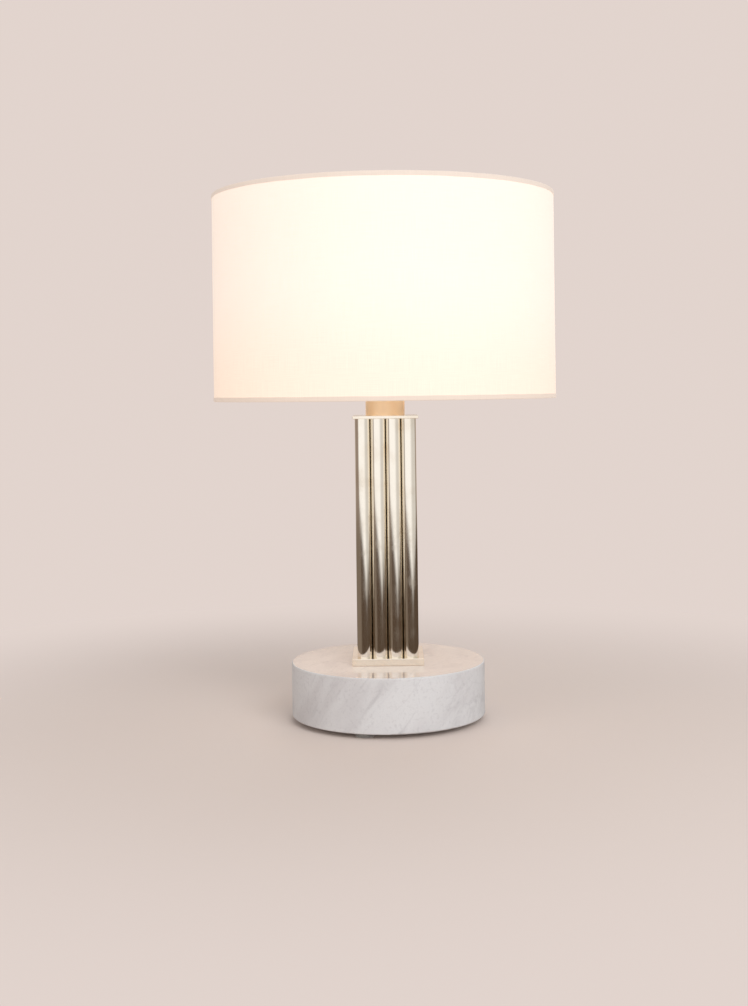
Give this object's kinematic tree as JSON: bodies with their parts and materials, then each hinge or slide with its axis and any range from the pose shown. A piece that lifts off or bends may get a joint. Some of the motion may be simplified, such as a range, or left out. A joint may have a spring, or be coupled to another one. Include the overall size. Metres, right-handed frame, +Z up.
{
  "type": "column table lamp",
  "caption": "Table lamp: round marble disc, square brass plates, column of brass tubes, white drum fabric shade on a spider, screw bulb.",
  "frame": {"origin": "centre of the lamp's footprint, on the surface that it stands on", "axes": "+Z up along the lamp's axis, -Y towards the viewer, the mains inlet at the back on +Y, +X to the viewer's right"},
  "size_m": [0.3508, 0.3508, 0.537],
  "materials": {
    "marble": "polished top, honed side",
    "clear_pad": "clear, slightly milky",
    "cover_board": "matt black board",
    "black_plastic": "fine satin",
    "white_plastic": "satin",
    "zinc_steel": "zinc plated",
    "polished_brass": "polished and lacquered, pale",
    "plain_brass": "drawn, unpolished",
    "glazed_insert": "white glaze",
    "earth_sleeve": "green and yellow sleeve",
    "live_sleeve": "brown sleeve",
    "neutral_sleeve": "blue sleeve",
    "white_wire": "white powder coat",
    "shade_liner": "white styrene sheet",
    "shade_fabric": "fine plain weave, off-white, lit from inside",
    "shade_hem": "rolled edge of the same cloth",
    "frosted_glass": "frosted white",
    "clear_glass": "clear",
    "nickel_cap": "nickel plated",
    "black_glass": "black glass",
    "solder": "tinned",
    "light_strip": "yellow phosphor coat"
  },
  "bodies": {
    "stand": {"marble_base": "marble", "foot_pads": "clear_pad", "base_cover": "cover_board", "cable_gland": "black_plastic", "wiring_strip": "zinc_steel", "foot_washer": "zinc_steel", "foot_nut": "zinc_steel", "threaded_rod": "zinc_steel", "cap_washer": "zinc_steel", "cap_nut": "zinc_steel", "rod_bushes": "white_plastic", "terminal_block": "white_plastic", "block_sleeves": "plain_brass", "block_clamp_screws": "zinc_steel", "block_screw": "zinc_steel", "earth_screw": "plain_brass", "earth_ring": "zinc_steel", "earth_lead": "earth_sleeve", "live_lead": "live_sleeve", "neutral_lead": "neutral_sleeve", "base_plate": "polished_brass", "top_plate": "polished_brass", "lampholder_cap": "polished_brass", "lampholder_insert": "glazed_insert", "terminal_posts": "plain_brass", "post_screws": "zinc_steel", "screw_shell": "plain_brass", "centre_contact": "plain_brass", "lampholder_skirt": "plain_brass", "tube_01": "polished_brass", "tube_02": "polished_brass", "tube_03": "polished_brass", "tube_04": "polished_brass", "tube_05": "polished_brass", "tube_06": "polished_brass", "tube_07": "polished_brass", "tube_08": "polished_brass", "tube_09": "polished_brass", "tube_10": "polished_brass", "tube_11": "polished_brass", "tube_12": "polished_brass"},
    "shade": {"shade_fitter": "white_wire", "spider_arms": "white_wire", "bottom_wire_ring": "white_wire", "top_wire_ring": "white_wire", "shade_liner": "shade_liner", "shade_fabric": "shade_fabric", "top_hem": "shade_hem", "bottom_hem": "shade_hem", "shade_seam": "shade_hem"},
    "lower_ring": {"lower_shade_ring": "plain_brass"},
    "upper_ring": {"upper_shade_ring": "plain_brass"},
    "bulb": {"bulb_glass": "frosted_glass", "bulb_cap": "nickel_cap", "bulb_insulator": "black_glass", "bulb_tip_contact": "solder", "bulb_stem": "clear_glass", "light_strips": "light_strip"},
    "switch": {"switch_bar": "black_plastic", "switch_slider": "black_plastic"}
  },
  "joints": [
    {"name": "shade_turn", "type": "hinge", "parent": "stand", "child": "shade", "pos_m": [0, 0, 0.36], "axis": [0, 0, 1], "continuous": true},
    {"name": "lower_ring_turn", "type": "hinge", "parent": "stand", "child": "lower_ring", "pos_m": [0, 0, 0.358], "axis": [0, 0, 1], "range_deg": [-120, 0]},
    {"name": "upper_ring_turn", "type": "hinge", "parent": "stand", "child": "upper_ring", "pos_m": [0, 0, 0.3635], "axis": [0, 0, 1], "range_deg": [0, 720]},
    {"name": "bulb_lift", "type": "slide", "parent": "stand", "child": "bulb", "axis": [0, 0, 1], "range_m": [0, 0.2]},
    {"name": "switch_push", "type": "slide", "parent": "stand", "child": "switch", "axis": [1, 0, 0], "range_m": [-0.006, 0]}
  ]
}
